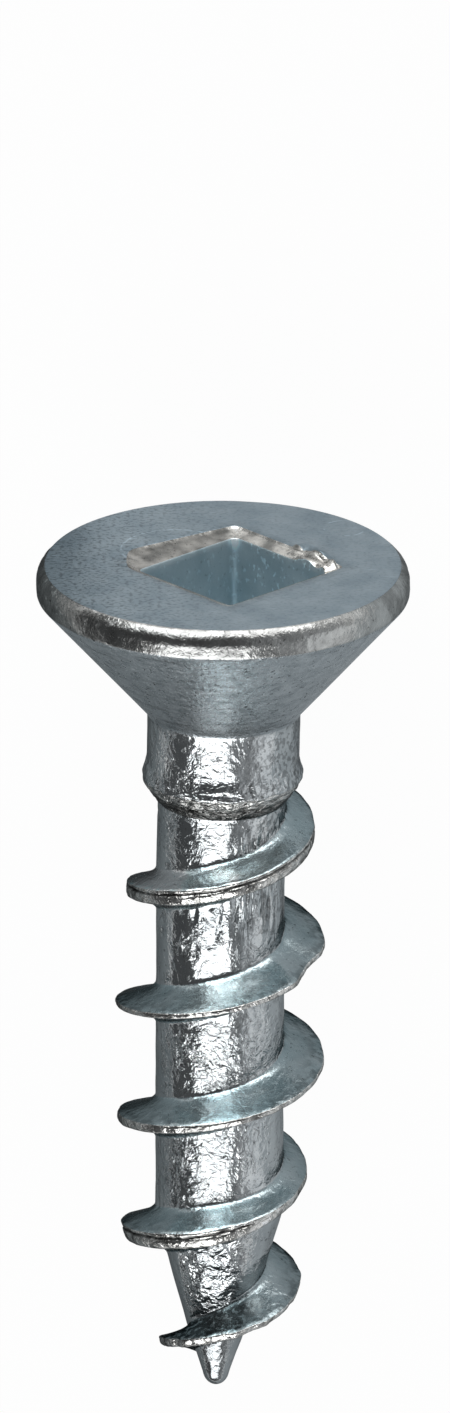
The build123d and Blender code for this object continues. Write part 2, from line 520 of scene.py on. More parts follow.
# %% [markdown]
# ## The core
# Thread dies squeezed the wire into shape, and the core between the turns shows it: nearly smooth near the
# head, crumpled toward the point, with upright dents under the first turn and round ones on the taper. All
# of these could be carved in the mesh, but it would need many times the faces. Only the larger wrinkles are
# carved, in a later step, and the small dents are layers of bumps, each with a rule that says where it is
# strong.

# %% Finish of the core
DENT_GRAINS = (6.0, 6.0, 1.0)
DENT_SWIRL = 0.3


def on_taper(spot):
    """0 on the straight core, 1 on the taper."""
    return spot.depth.eased(14.2, 14.8)


def core_relief(spot):
    """The dies left the core crumpled toward the point, in patches, with a few deep dents on the left."""
    patch = spot.grain((1.3, 1.3, 0.8), detail=1.0).eased(0.35, 0.65) * 0.65 + 0.35
    dented = spot.grain((2.6, 2.6, 2.0), detail=2.0).eased(0.52, 0.60) * spot.side.eased(-0.20, -0.60)
    crumple = patch * (spot.depth.eased(9.0, 11.5) * 0.45 + 0.50)
    crumple = crumple + dented * spot.depth.eased(12.5, 11.0) * 0.90
    return crumple * (on_taper(spot) * -0.60 + 1.0)


def taper_relief(spot):
    """The dies left round dents on the taper: on its front, down to the last turn."""
    front = spot.side.eased(-0.95, -0.65) * spot.side.eased(0.60, 0.15)
    return on_taper(spot) * spot.depth.eased(17.4, 16.8) * (front * 0.95 + 0.05)


def dent_relief(spot):
    """Upright dents where the ridge pressed on the core, on the right under the first turn."""
    under_ridge = spot.depth.eased(8.3, 7.6) * spot.depth.eased(5.6, 6.0)
    return under_ridge * spot.side.eased(0.15, 0.45)


def core_wear_and_painted_shade(spot):
    """The metal is darker at the point and pitted on the right near the head, and painted shade darkens the
    hollows of the dents.
    """
    # Painted shade in the hollows of the upright dents under the first turn.
    dents = spot.grain(DENT_GRAINS, swirl=DENT_SWIRL).eased(0.46, 0.36) * dent_relief(spot)
    pitted = spot.grain(7.0, detail=4.0).eased(0.50, 0.62)
    pitted = pitted * spot.side.eased(0.1, 0.9) * spot.depth.eased(11.0, 9.0)
    dull = spot.depth.eased(16.2, 17.2) * -0.20 + 1.0
    return dull * (dents * -0.50 + 1.0) * (pitted * -0.40 + 1.0)


core_finish = plating(
    "zinc_core",
    dark=(0.58, 0.61, 0.62),
    light=(0.78, 0.80, 0.80),
    shine=(0.09, 0.18),
    grains=(2.0, 2.0, 1.0),
    bumps=[
        bump((2.0, 2.0, 1.2), 0.060, swirl=0.8, relief=core_relief),
        bump((5.0, 5.0, 5.4), 0.050, swirl=1.5, relief=core_relief),
        bump((3.4, 3.4, 4.2), 0.140, swirl=0.2, relief=taper_relief),
        bump(DENT_GRAINS, 0.090, swirl=DENT_SWIRL, relief=dent_relief),
    ],
    slant=0.56,
    pits=0.50,
    wear_and_painted_light=core_wear_and_painted_shade,
)
print("made:", core_finish.name)

# %% [markdown]
# ## The thread's flanks and crests
# The flanks are satin and faintly blue. The crests were the last to fill with metal, so they are bright and
# uneven, and where rolling folded one over, painted shade darkens the seam between its two lips. Neither
# depends on a place in space but on a place across the ridge. The thread's mesh will carry that as numbers
# on its points, "flank_place" and "from_seam", which the finishes read with an Attribute node.

# %% Finishes of the flanks and the crests
def flank_wear_and_painted_light(spot):
    """Flanks are clean at the root, dull and speckled toward the crest. Painted light makes the first turn
    lighter, most of all on its left, painted shade darkens the right, and the last turns are darker.
    """
    outer = spot.measured("flank_place").eased(0.35, 1.0)
    blotch = spot.grain(5.0, detail=4.0).eased(0.42, 0.62)
    # Painted shade on the right, and painted light on the first turn, most of all on its left.
    painted_shade_right = spot.side.eased(0.5, 1.7) * -0.36 + 1.0
    brighter = spot.depth.eased(8.2, 7.4) * (spot.side.eased(-0.6, -1.4) * 0.25 + 0.18) + 1.0
    brighter = brighter + spot.depth.eased(14.5, 16.0) * -0.18
    spark = spot.grain(9.0).eased(0.52, 0.60)
    last_front = spot.depth.eased(15.8, 16.6) * spot.side.eased(1.0, 0.3)
    stained = last_front * (spark - 1.0) * 0.65 + 1.0
    return (outer * blotch * -0.45 + 1.0) * painted_shade_right * brighter * stained


def crest_tone_and_painted_shade(spot):
    """Where rolling folded the crest, painted shade darkens the seam between its two lips, and the tone
    varies at random.
    """
    lip = spot.measured("from_seam").eased(0.04, 0.28)
    blotch = spot.grain((3.2, 3.2, 4.0)).eased(0.40, 0.50)
    return (lip * 0.75 + 0.25) * (blotch * 0.45 + 0.65)


flank_finish = plating(
    "zinc_flank",
    dark=(0.66, 0.79, 0.82),
    light=(0.84, 0.94, 0.96),
    shine=(0.18, 0.30),
    grains=1.5,
    bumps=[bump(7.0, 0.014, swirl=0.4), bump(1.5, 0.03)],
    slant=0.02,
    pits=0.45,
    wear_and_painted_light=flank_wear_and_painted_light,
)
crest_finish = plating(
    "zinc_crest",
    dark=(0.54, 0.53, 0.50),
    light=(0.97, 0.95, 0.92),
    shine=(0.10, 0.22),
    grains=(5.0, 5.0, 7.0),
    bumps=[bump((4.0, 4.0, 5.0), 0.055, swirl=0.8), bump(12.0, 0.008)],
    slant=0.16,
    pits=0.6,
    wear_and_painted_light=crest_tone_and_painted_shade,
)
print("finishes:", [m.name for m in bpy.data.materials if m.name.startswith("zinc")])

# %% [markdown]
# ## The thread and its core
# The thread is a ridge that climbs round the core by one pitch a turn. It could be swept along a helix and
# joined to a cylinder, but the join would leave cuts and slivers. So a Grid is bent to the shape: each
# column of the grid is one direction round the screw, and each row is one place across the ridge, from the
# middle of the bare core on one side, over the crest, to the middle on the other side. The far rows of one
# turn then lie on the near rows of the next, and merging them gives one closed skin with no ridge stuck on.
# Two curves along the thread say how high it stands, and where rolling turned its crest over, which makes
# it lower and broader.

# %% Heights and crest forms along the thread
# Turns are counted from the first crest. A height is a share of the full ridge. A crest form is 0 where the
# crest is sharp and 1 where it is rolled over. A curve only holds values up to 1, so its top stands for 1.1.
COURSE_LOW = -0.62
COURSE_HIGH = 5.0
COURSE_TOP = 1.1
HEIGHT_COURSE = [
    (-0.62, 0.00), (-0.50, 0.12), (-0.37, 0.36), (-0.25, 0.60), (-0.12, 0.71), (0.00, 0.72), (0.30, 0.73),
    (0.60, 0.75), (0.80, 0.89), (1.00, 1.01), (1.02, 0.98), (1.04, 0.85), (1.06, 0.79), (1.08, 0.78),
    (1.095, 0.90), (1.11, 0.97), (1.20, 1.00), (1.50, 1.00), (2.40, 0.97), (2.75, 0.80), (3.00, 0.59),
    (3.20, 0.74), (3.45, 0.93), (3.75, 0.85), (4.00, 1.02), (4.25, 0.93), (4.48, 0.77), (4.60, 0.45),
    (4.70, 0.05), (4.76, 0.00), (5.00, 0.00),
]
ROLLED_COURSE = [
    (-0.62, 0.80), (0.45, 0.80), (0.80, 0.10), (1.50, 0.06), (2.00, 0.00), (2.50, 0.36), (2.75, 0.25),
    (3.00, 0.20), (3.25, 0.90), (3.50, 1.00), (3.75, 0.45), (4.00, 0.06), (4.25, 0.30), (4.50, 0.40),
    (5.00, 0.20),
]
print("thread courses:", len(HEIGHT_COURSE), "heights,", len(ROLLED_COURSE), "crest forms")

# %% [markdown]
# ## Helpers for the thread's tree
# A Float Curve node reads a course at each turn. Noise with one dimension makes an edge uneven only along
# the thread, and noise with a place and a seed wrinkles a surface. A number that is worked out early is
# stored on the points under a name, because a field is worked out anew after the points have moved.

# %% Curves, noise and kept numbers
def course(tree, position, points):
    """A smooth curve through (turn, share) points, read at a position along the thread."""
    node = tree.nodes.new("ShaderNodeFloatCurve")
    curve = node.mapping.curves[0]
    reach = COURSE_HIGH - COURSE_LOW
    spots = [((turn - COURSE_LOW) / reach, share / COURSE_TOP) for turn, share in points]
    curve.points[0].location = spots[0]
    curve.points[1].location = spots[-1]
    for spot in spots[1:-1]:
        curve.points.new(*spot)
    node.mapping.update()
    feed((position - COURSE_LOW) / reach, node.inputs["Value"])
    return Field(node.outputs[0]) * COURSE_TOP


def edge_noise(tree, turn, seed, grains):
    """Uneven edge: noise from -1 to 1 that only changes along the thread."""
    noise = tree.nodes.new("ShaderNodeTexNoise")
    noise.noise_dimensions = "1D"
    feed_all(noise, {"Scale": grains, "Detail": 3.0, "W": turn + seed})
    return (Field(noise.outputs["Fac"]) - 0.5) * 2.0


def place_noise(tree, grains, seed):
    """Noise from -1 to 1 at each point; grains per millimetre can differ by direction."""
    position = tree.nodes.new("GeometryNodeInputPosition")
    spread = add(tree, "ShaderNodeVectorMath", {0: position.outputs[0], 1: grains})
    spread.operation = "MULTIPLY"
    noise = tree.nodes.new("ShaderNodeTexNoise")
    noise.noise_dimensions = "4D"
    feed_all(noise, {"Vector": spread.outputs[0], "Scale": 1.0, "Detail": 2.0, "W": seed})
    return (Field(noise.outputs["Fac"]) - 0.5) * 2.0


def stored(tree, geometry, name, field):
    """Keep a number on every point under a name."""
    node = tree.nodes.new("GeometryNodeStoreNamedAttribute")
    node.data_type = "FLOAT"
    node.domain = "POINT"
    feed_all(node, {"Geometry": geometry, "Name": name, "Value": field})
    return node.outputs["Geometry"]


def kept(tree, name):
    """Read back a number that was kept on the points."""
    node = tree.nodes.new("GeometryNodeInputNamedAttribute")
    node.data_type = "FLOAT"
    feed_all(node, {"Name": name})
    return Field(node.outputs["Attribute"])


print("thread helpers ready")

# %% [markdown]
# ## The tree's inputs
# A Geometry Nodes tree is a tool with settings. Sizes, seed and finishes come in as named inputs, so each
# can be changed without a look inside the tree, and with a fixed seed its noise is the same in every run.

# %% Name the tree's inputs
thread_values = {
    "Pitch": PITCH,
    "First crest depth": FIRST_CREST,
    "Core radius": CORE_RADIUS,
    "Crest radius": CREST_RADIUS,
    "Sharp crest width": 0.10,
    "Rolled crest width": 0.38,
    "Lip groove": 0.085,
    "Lip lumps": 0.017,
    "Flank slope": math.tan(math.radians(20)),
    "Foot height": 0.20,
    "Foot spread": 0.18,
    "Ragged edge": 0.030,
    "Wrinkle depth": 0.020,
    "Crease depth": 0.030,
    "Seed": 7.0,
}
thread_finishes = {"Core": core_finish, "Flank": flank_finish, "Crest": crest_finish}
tree = bpy.data.node_groups.new("Thread and core", "GeometryNodeTree")
for name, value in thread_values.items():
    socket = tree.interface.new_socket(name, in_out="INPUT", socket_type="NodeSocketFloat")
    socket.default_value = value
for name in thread_finishes:
    tree.interface.new_socket(name, in_out="INPUT", socket_type="NodeSocketMaterial")
tree.interface.new_socket("Geometry", in_out="OUTPUT", socket_type="NodeSocketGeometry")
given = tree.nodes.new("NodeGroupInput")
size = {socket.name: Field(socket) for socket in given.outputs if socket.name}
print("tree inputs:", len(size))

# %% [markdown]
# ## A grid to bend
# The grid is flat and its size doesn't matter, because every point will be placed anew. What counts is each
# point's index: divided by the number of rows and rounded down it gives the column, which is the turn along
# the thread, and the rest is the row across it. A thousandth is added before rounding, so that no whole
# number falls just short.

# %% Lay out the grid
COLUMNS = 192
CREST_ROWS = 5
FLANK_ROWS = 5
FOOT_ROWS = 4
ROOT_ROWS = 11
HALF_ROWS = CREST_ROWS + FLANK_ROWS + FOOT_ROWS + ROOT_ROWS
LOW_TURN = (CORE_TOP - FIRST_CREST) / PITCH - 0.5
HIGH_TURN = (POINT_TOUCH_DEPTH - FIRST_CREST) / PITCH + 0.5
columns = round((HIGH_TURN - LOW_TURN) * COLUMNS) + 1
rows = 2 * HALF_ROWS + 1
grid = add(tree, "GeometryNodeMeshGrid", {"Vertices X": columns, "Vertices Y": rows})
index = Field(tree.nodes.new("GeometryNodeInputIndex").outputs[0])
column = (index / rows + 0.001).do("FLOOR")
row = index - column * rows - HALF_ROWS
turn = column / COLUMNS + LOW_TURN
step = row.do("ABSOLUTE")
print("grid", columns, "by", rows, "for turns", round(LOW_TURN, 2), "to", round(HIGH_TURN, 2))

# %% [markdown]
# ## How high and how broad the ridge is
# The two courses give the height and the width of the crest at each turn. Real edges are never even, so
# slow noise makes the height wander and quick noise nicks the crest. The last turn is rougher, because the
# metal ran out there.

# %% Height and breadth at each turn
height_share = course(tree, turn, HEIGHT_COURSE)
rolled = course(tree, turn, ROLLED_COURSE)
slow_edge = edge_noise(tree, turn, size["Seed"], 9.0)
quick_edge = edge_noise(tree, turn, size["Seed"], 26.0)
late = turn.eased(3.9, 4.3)
ragged = slow_edge * (late + 0.5) * size["Ragged edge"]
height = ((size["Crest radius"] - size["Core radius"] + ragged) * height_share).do("MAXIMUM", 0.0)
nicks = quick_edge * (late * 2.0 + 0.9) * size["Ragged edge"] * height.eased(0.1, 0.4)
broader = (size["Rolled crest width"] - size["Sharp crest width"]) * rolled
half_crest = (size["Sharp crest width"] + broader) / 2.0
print("heights and widths:", len(tree.nodes), "nodes so far")

# %% [markdown]
# ## The section of the ridge
# From the middle of the crest outward the section has four parts: the crest, a straight flank, a foot that
# spreads into the core, and the bare core. A row's number says how far along each part it is, as a number
# from 0 to 1, and two sums turn these into a place across the ridge and a rise above the core.

# %% Draw the section
part_places = []
first_row = 0
for part_rows in (CREST_ROWS, FLANK_ROWS, FOOT_ROWS, ROOT_ROWS):
    part_places.append(((step - first_row) / part_rows).clipped())
    first_row += part_rows
crest_part, flank_part, foot_part, root_part = part_places
foot_height = size["Foot height"].do("MINIMUM", height / 2.0)
thinner = turn.eased(4.1, 4.6) * -0.5 + 1.0
flank_run = (height - foot_height) * size["Flank slope"] * thinner
foot_spread = size["Foot spread"] * thinner
foot_reach = half_crest + flank_run + foot_spread
ridge_across = half_crest * crest_part + flank_run * flank_part + foot_spread * foot_part
across = ridge_across + (size["Pitch"] / 2.0 - foot_reach) * root_part
foot_left = (foot_part - 1.0).do("POWER", 2.0)
plain_rise = height - (height - foot_height) * flank_part - foot_height + foot_height * foot_left
edge_round = crest_part.do("POWER", 4.0) * (flank_part - 1.0).do("POWER", 2.0) * 0.02
print("section:", len(tree.nodes), "nodes so far")

# %% [markdown]
# ## The folded crest
# Where rolling turned the crest over, a groove with lumpy lips runs along its upper third. It comes and
# goes, so it can't be one carved line. The course of crest forms and some noise say how deep it is at each
# turn. A place on the crest is counted from -1 at its upper edge to 1 at its lower edge.

# %% Fold the crest
SEAM_PLACE = -0.4
SEAM_HALF_WIDTH = 0.45
seam = edge_noise(tree, turn, size["Seed"] + 4.0, 14.0).eased(-0.5, 0.2)
folded = rolled.eased(0.3, 0.7)
crest_side = crest_part * row.do("SIGN")
from_seam = (crest_side - SEAM_PLACE).do("ABSOLUTE")
groove_shape = ((from_seam / SEAM_HALF_WIDTH).clipped() - 1.0).do("POWER", 2.0)
groove = groove_shape * size["Lip groove"] * folded * seam
curls = edge_noise(tree, turn + crest_side * 0.02, size["Seed"] + 8.0, 34.0)
lumps = curls * size["Lip lumps"] * folded * (crest_part.do("POWER", 4.0) * -1.0 + 1.0)
near_crest = (flank_part - 1.0).do("POWER", 4.0)
rise = plain_rise - (edge_round + groove) * height.eased(0.1, 0.4) + nicks * near_crest + lumps
rise = rise.do("MAXIMUM", 0.0)
print("fold:", len(tree.nodes), "nodes so far")

# %% [markdown]
# ## Winding it round the core
# A place along and across the ridge is now turned into a real place: depth down the axis, radius out from
# it and angle round it. Points above or below the core are held at its two ends, where the merge makes them
# one ring, so that the head and the point can join there.

# %% Wind the section round the core
MERGE_GAP = 0.0004
crest_depth = size["First crest depth"] + size["Pitch"] * turn
depth = (crest_depth + across * row.do("SIGN")).do("MAXIMUM", CORE_TOP).do("MINIMUM", POINT_TOUCH_DEPTH)
fade = depth.eased(CORE_TOP, CORE_TOP + 0.30)
end_fade = depth.eased(POINT_TOUCH_DEPTH - 0.01, POINT_TOUCH_DEPTH - 0.25)
rise = rise * fade * end_fade
taper = (depth - TAPER_START).do("MAXIMUM", 0.0) * math.tan(POINT_ANGLE)
radius = size["Core radius"] - taper + rise
angle = turn * (-2 * math.pi)
place = add(tree, "ShaderNodeCombineXYZ", {
    "X": radius * angle.do("COSINE"),
    "Y": radius * angle.do("SINE"),
    "Z": depth * -1.0,
})

geometry = stored(tree, grid.outputs["Mesh"], "rows_from_crest", step)
geometry = stored(tree, geometry, "ridge_height", height * fade)
geometry = stored(tree, geometry, "bare_core", rise.eased(0.12, 0.0) * fade * end_fade)
# Away from a fold the distance is a whole step longer, so that no seam shows there.
geometry = stored(tree, geometry, "from_seam", from_seam - folded + 1.0)
geometry = stored(tree, geometry, "flank_place", rise / FULL_RIDGE)
wind = add(tree, "GeometryNodeSetPosition", {"Geometry": geometry, "Position": place.outputs[0]})
merge = add(tree, "GeometryNodeMergeByDistance", {"Geometry": wind.outputs[0], "Distance": MERGE_GAP})
print("wound and merged:", len(tree.nodes), "nodes so far")

# %% [markdown]
# ## Wrinkles on the bare core
# Rolling leaves the bare core wrinkled, mostly along the axis. Bumps would do for the light, but not for
# the outline, so here the points themselves move. Broad and fine noise make the waves, and where a third
# noise passes through zero it makes a sharp crease, in patches.

# %% Wrinkle the bare core
broad = place_noise(tree, (1.9, 1.9, 0.7), size["Seed"])
fine = place_noise(tree, (5.0, 5.0, 2.2), size["Seed"] + 3.0)
valley = place_noise(tree, (2.6, 2.6, 0.8), size["Seed"] + 9.0).do("ABSOLUTE").eased(0.12, 0.0)
patch = place_noise(tree, (0.9, 0.9, 0.6), size["Seed"] + 5.0).eased(0.0, 0.3)
creases = valley * patch * size["Crease depth"] * -1.0
amount = ((broad + fine * 0.45) * size["Wrinkle depth"] + creases) * kept(tree, "bare_core")
outward = tree.nodes.new("ShaderNodeVectorMath")
outward.operation = "SCALE"
feed_all(outward, {0: tree.nodes.new("GeometryNodeInputNormal").outputs[0], "Scale": amount})
wrinkle = add(tree, "GeometryNodeSetPosition", {"Geometry": merge.outputs[0], "Offset": outward.outputs[0]})
print("wrinkled:", len(tree.nodes), "nodes so far")

# %% [markdown]
# ## A finish for each part of the section
# The tree ends with a real mesh and its finishes. The whole mesh gets the core's finish first, then the
# rows near the crest get the flank's, and the innermost rows the crest's, but only where the ridge stands
# up.

# %% Set the finishes
LOWEST_RIDGE = 0.06
geometry = add(tree, "GeometryNodeRealizeInstances", {0: wrinkle.outputs[0]}).outputs[0]
stands = kept(tree, "ridge_height").do("GREATER_THAN", LOWEST_RIDGE)
on_crest = kept(tree, "rows_from_crest").do("LESS_THAN", CREST_ROWS - 0.01)
on_flank = kept(tree, "rows_from_crest").do("LESS_THAN", CREST_ROWS + FLANK_ROWS + FOOT_ROWS - 1.0)
for name, chosen in (("Core", None), ("Flank", on_flank * stands), ("Crest", on_crest * stands)):
    painted = add(tree, "GeometryNodeSetMaterial", {"Geometry": geometry, "Material": size[name]})
    if chosen is not None:
        feed(chosen, painted.inputs["Selection"])
    geometry = painted.outputs[0]
add(tree, "NodeGroupOutput", {"Geometry": geometry})
print("thread tree:", len(tree.nodes), "nodes")

# %% [markdown]
# ## Running the tree
# The tree goes on an empty mesh as a modifier, and every input is set before the modifier first runs. The
# result is then kept as a plain mesh and the modifier goes away, because a finished part should not depend
# on a tree.

# %% Run the tree and keep its mesh
def in_scene(name, data):
    """A new object that holds a mesh, a light or a camera, put in the scene."""
    thing = bpy.data.objects.new(name, data)
    bpy.context.scene.collection.objects.link(thing)
    return thing


holder = in_scene("thread_holder", bpy.data.meshes.new("thread_holder"))
modifier = holder.modifiers.new("Thread and core", "NODES")
modifier.node_group = tree
for item in tree.interface.items_tree:
    if item.in_out == "INPUT" and item.name in thread_values:
        modifier[item.identifier] = thread_values[item.name]
    elif item.in_out == "INPUT" and item.name in thread_finishes:
        modifier[item.identifier] = thread_finishes[item.name]
graph = bpy.context.evaluated_depsgraph_get()
thread_mesh = bpy.data.meshes.new_from_object(holder.evaluated_get(graph), depsgraph=graph)
bpy.data.objects.remove(holder)
print("thread and core:", len(thread_mesh.vertices), "points,", len(thread_mesh.polygons), "faces")

# %% [markdown]
# ## The head, the neck and the point
# The rest is turned work. The Screw modifier could spin a profile, but the recess is square and has to join
# the round face. So everything is made of rings of points, with as many points in a ring as the thread has
# columns: round rings, and for the recess rounded polygons. A polygon's ring is easy: each side gives a
# distance for each direction, and adding the sides with a high power picks the nearest and rounds the
# corners.

# %% Rings of points
CORNER_SHARPNESS = 26
RING_ANGLES = [-2 * math.pi * (LOW_TURN + k / COLUMNS) for k in range(COLUMNS)]


def polygon_reach(direction, sides, scale):
    """Distance from the middle to a rounded polygon's edge in one direction."""
    total = 0.0
    for degrees, reach in sides:
        share = math.cos(direction - math.radians(degrees)) / (reach * scale)
        if share > 0:
            total += share**CORNER_SHARPNESS
    return total ** (-1 / CORNER_SHARPNESS)


def corner_angle(direction):
    """Crowd directions together near the recess's corners."""
    quarter = math.pi / 2
    corner = RECESS_TURN + quarter / 2
    which = round((direction - corner) / quarter)
    way = (direction - corner - which * quarter) / (quarter / 2)
    return corner + which * quarter + (0.35 * way + 0.65 * way**3) * quarter / 2


def polygon_ring(sides, scale, depth, grow=0.0):
    """A ring of the recess: a rounded polygon at one depth."""
    ring = []
    for angle in RING_ANGLES:
        direction = corner_angle(angle)
        reach = polygon_reach(direction, sides, scale) + grow
        step_out = Vector((reach * math.cos(direction), reach * math.sin(direction), -depth))
        ring.append(RECESS_CENTRE + step_out)
    return ring


def round_ring(radius, depth):
    """A plain ring round the screw's axis."""
    return [Vector((radius * math.cos(a), radius * math.sin(a), -depth)) for a in RING_ANGLES]


def round_recess_ring(radius, depth):
    """A plain ring round the middle of the recess."""
    return [point + RECESS_CENTRE for point in round_ring(radius, depth)]


def between(ring_a, ring_b, count):
    """Rings spaced evenly from one ring to another, without either of them."""
    steps = [(i + 1) / (count + 1) for i in range(count)]
    return [[a.lerp(b, step) for a, b in zip(ring_a, ring_b)] for step in steps]


print("columns round the screw:", COLUMNS)

# %% [markdown]
# ## The recess
# A punch made the recess. Its walls lean in a little, its mouth was dragged wider, most of all on the far
# left, and the floor ends in a shallow cone. Each ring is listed with the finish of the band that leads to
# the next ring, from the middle of the floor up and out to the edge of the face.

# %% Rings of the recess and the face
FLOOR_DEPTH = 2.30
FLOOR_TIP_DEPTH = FLOOR_DEPTH + 0.45
MOUTH_DEPTH = 0.12
WALL_SIDES = [(43.5, 1.0), (133.5, 1.0), (223.5, 1.0), (313.5, 1.0)]
MOUTH_SIDES = [(43.5, 1.74), (123.0, 2.02), (178.0, 2.27), (223.5, 1.70), (313.5, 1.66)]
skin = []


def add_rings(ring, finish, fill=0):
    """Add a ring to the skin, with evenly spaced rings between it and the last one."""
    if fill:
        last_ring, last_finish = skin[-1]
        skin.extend((middle, last_finish) for middle in between(last_ring, ring, fill))
    skin.append((ring, finish))


add_rings(round_recess_ring(0.05, FLOOR_TIP_DEPTH), "wall")
add_rings(round_recess_ring(1.20, FLOOR_DEPTH), "wall", fill=3)
add_rings(polygon_ring(WALL_SIDES, 1.33, FLOOR_DEPTH), "wall")
add_rings(polygon_ring(WALL_SIDES, 1.345, FLOOR_DEPTH - 0.03), "wall")
add_rings(polygon_ring(WALL_SIDES, 1.415, MOUTH_DEPTH + 0.03), "wall", fill=14)
add_rings(polygon_ring(WALL_SIDES, 1.43, MOUTH_DEPTH), "mouth")
add_rings(polygon_ring(MOUTH_SIDES, 1.0, 0.055, grow=-0.03), "mouth", fill=5)
add_rings(polygon_ring(MOUTH_SIDES, 1.0, 0.010), "face")
add_rings(polygon_ring(MOUTH_SIDES, 1.0, 0.0, grow=0.03), "face")
add_rings(round_ring(FACE_RADIUS - 0.02, 0.0), "face", fill=12)
print("rings of recess and face:", len(skin))

# %% [markdown]
# ## Rim, cone, neck, ledge and point
# The outside is one turned profile. Each corner says its radius, its depth, how much it is rounded and how
# finely the run to the next corner is cut. Rolling the thread pushed metal up against the neck, which left
# the thick ledge just above the first turn. A gap is left where the thread's own mesh belongs.

# %% Turn the outside profile
RIM_ARC = 0.436
RIM_ARC_START = math.asin(RIM_ROUND_DEPTH / RIM_ARC)
RIM_CUTS = 8
ROUND_CUTS = 5
POINT_CUTS = 7
FLARE_DEPTH = 4.42
LEDGE_RADIUS = 1.74
LEDGE_DEPTH = 4.78
LEDGE_FOOT_RADIUS = 1.55
LEDGE_FOOT_DEPTH = 5.14


def turned(corners):
    """Radius, depth and finish of every ring of a profile with rounded corners."""
    out = []
    for place, (radius, depth, rounding, cuts, finish) in enumerate(corners):
        here = Vector((radius, depth))
        if rounding and 0 < place < len(corners) - 1:
            back = (Vector(corners[place - 1][:2]) - here).normalized() * rounding
            ahead = (Vector(corners[place + 1][:2]) - here).normalized() * rounding
            old_finish = corners[place - 1][4]
            for i in range(ROUND_CUTS + 1):
                s = i / ROUND_CUTS
                mid = (here + back) * (1 - s) ** 2 + here * 2 * s * (1 - s) + (here + ahead) * s**2
                out.append((mid.x, mid.y, finish if s > 0.5 else old_finish))
            here = here + ahead
        else:
            out.append((radius, depth, finish))
        if place < len(corners) - 1:
            after = Vector(corners[place + 1][:2])
            after_round = corners[place + 1][2]
            if after_round:
                after = after + (here - after).normalized() * after_round
            for i in range(cuts):
                mid = here.lerp(after, (i + 1) / (cuts + 1))
                out.append((mid.x, mid.y, finish))
    return out


for i in range(RIM_CUTS + 1):
    lift = RIM_ARC_START * (1 - i / RIM_CUTS)
    arc_radius = HEAD_RADIUS - RIM_ARC + RIM_ARC * math.cos(lift)
    add_rings(round_ring(arc_radius, RIM_ROUND_DEPTH - RIM_ARC * math.sin(lift)), "rim")
outside = turned(
    [
        (HEAD_RADIUS, 0.38, 0.0, 2, "rim"),
        (HEAD_RADIUS, RIM_DEPTH, 0.06, 22, "cone"),
        (NECK_RADIUS, CONE_END_DEPTH, 0.10, 12, "neck"),
        (NECK_RADIUS, FLARE_DEPTH, 0.10, 5, "neck"),
        (LEDGE_RADIUS, LEDGE_DEPTH, 0.07, 6, "ledge"),
        (LEDGE_FOOT_RADIUS, LEDGE_FOOT_DEPTH, 0.05, 4, "ledge"),
        (CORE_RADIUS, CORE_TOP, 0.0, 0, "point"),
    ]
)
for radius, depth, finish in outside[:-1]:
    add_rings(round_ring(radius, depth), finish)
add_rings(round_ring(CORE_RADIUS, CORE_TOP), "gap")

tip_middle = LENGTH - POINT_RADIUS
for i in range(POINT_CUTS):
    lift = POINT_ANGLE + (math.pi / 2 - POINT_ANGLE) * i / POINT_CUTS
    depth = tip_middle + POINT_RADIUS * math.sin(lift)
    add_rings(round_ring(POINT_RADIUS * math.cos(lift), depth), "point")
print("rings in all:", len(skin))

# %% [markdown]
# ## One closed skin
# A real screw is one piece of metal, so its skin is one closed mesh. The parts could simply overlap, but
# then the joins would show in the reflections. The rings become faces, a fan closes the recess floor and
# the point, and the thread's mesh joins where the rings leave a gap for it. The same small merge as in the
# tree sews the parts together, and a count of open edges proves it.

# %% Join rings and thread
finishes = {
    "wall": wall_finish,
    "mouth": mouth_finish,
    "face": face_finish,
    "rim": rim_finish,
    "cone": cone_finish,
    "neck": neck_finish,
    "point": core_finish,
    "ledge": ledge_finish,
    "flank": flank_finish,
    "crest": crest_finish,
}
finish_names = list(finishes)
slot_of_material = {material.name: finish_names.index(name) for name, material in finishes.items()}

body = bmesh.new()
for polygon in thread_mesh.polygons:
    polygon.material_index = slot_of_material[thread_mesh.materials[polygon.material_index].name]
body.from_mesh(thread_mesh)
ring_points = [[body.verts.new(point) for point in ring] for ring, finish in skin]
for (ring, finish), upper, lower in zip(skin, ring_points, ring_points[1:]):
    if finish == "gap":
        continue
    for k in range(COLUMNS):
        after = (k + 1) % COLUMNS
        face = body.faces.new((upper[k], lower[k], lower[after], upper[after]))
        face.material_index = finish_names.index(finish)
for ring, centre, finish in (
    (ring_points[0], RECESS_CENTRE - Vector((0, 0, FLOOR_TIP_DEPTH)), "wall"),
    (ring_points[-1], Vector((0, 0, -LENGTH)), "point"),
):
    middle = body.verts.new(centre)
    for k in range(COLUMNS):
        face = body.faces.new((ring[k], middle, ring[(k + 1) % COLUMNS]))
        face.material_index = finish_names.index(finish)
bmesh.ops.remove_doubles(body, verts=body.verts, dist=MERGE_GAP)
loose = [v for v in body.verts if not v.link_faces]
bmesh.ops.delete(body, geom=loose, context="VERTS")
bmesh.ops.recalc_face_normals(body, faces=body.faces)
open_edges = [edge for edge in body.edges if len(edge.link_faces) != 2]
print("skin:", len(body.verts), "points,", len(body.faces), "faces,", len(open_edges), "open edges")

# %% [markdown]
# ## Marks at the mouth and the point
# The punch dragged the metal of the recess's mouth: on the right a burr stands up over the face, and the
# far left corner is flared. The point was pinched from both sides. Such single marks could be sculpted by
# hand, but as rules on the mesh's points they can be read and changed. Noise with a fixed seed makes the
# torn edge.

# %% Rules for the mouth and the point
PINCH_START = 18.0
PINCH_RUN = 0.7
PINCH_RIGHT = 0.14
PINCH_LEFT = 0.12


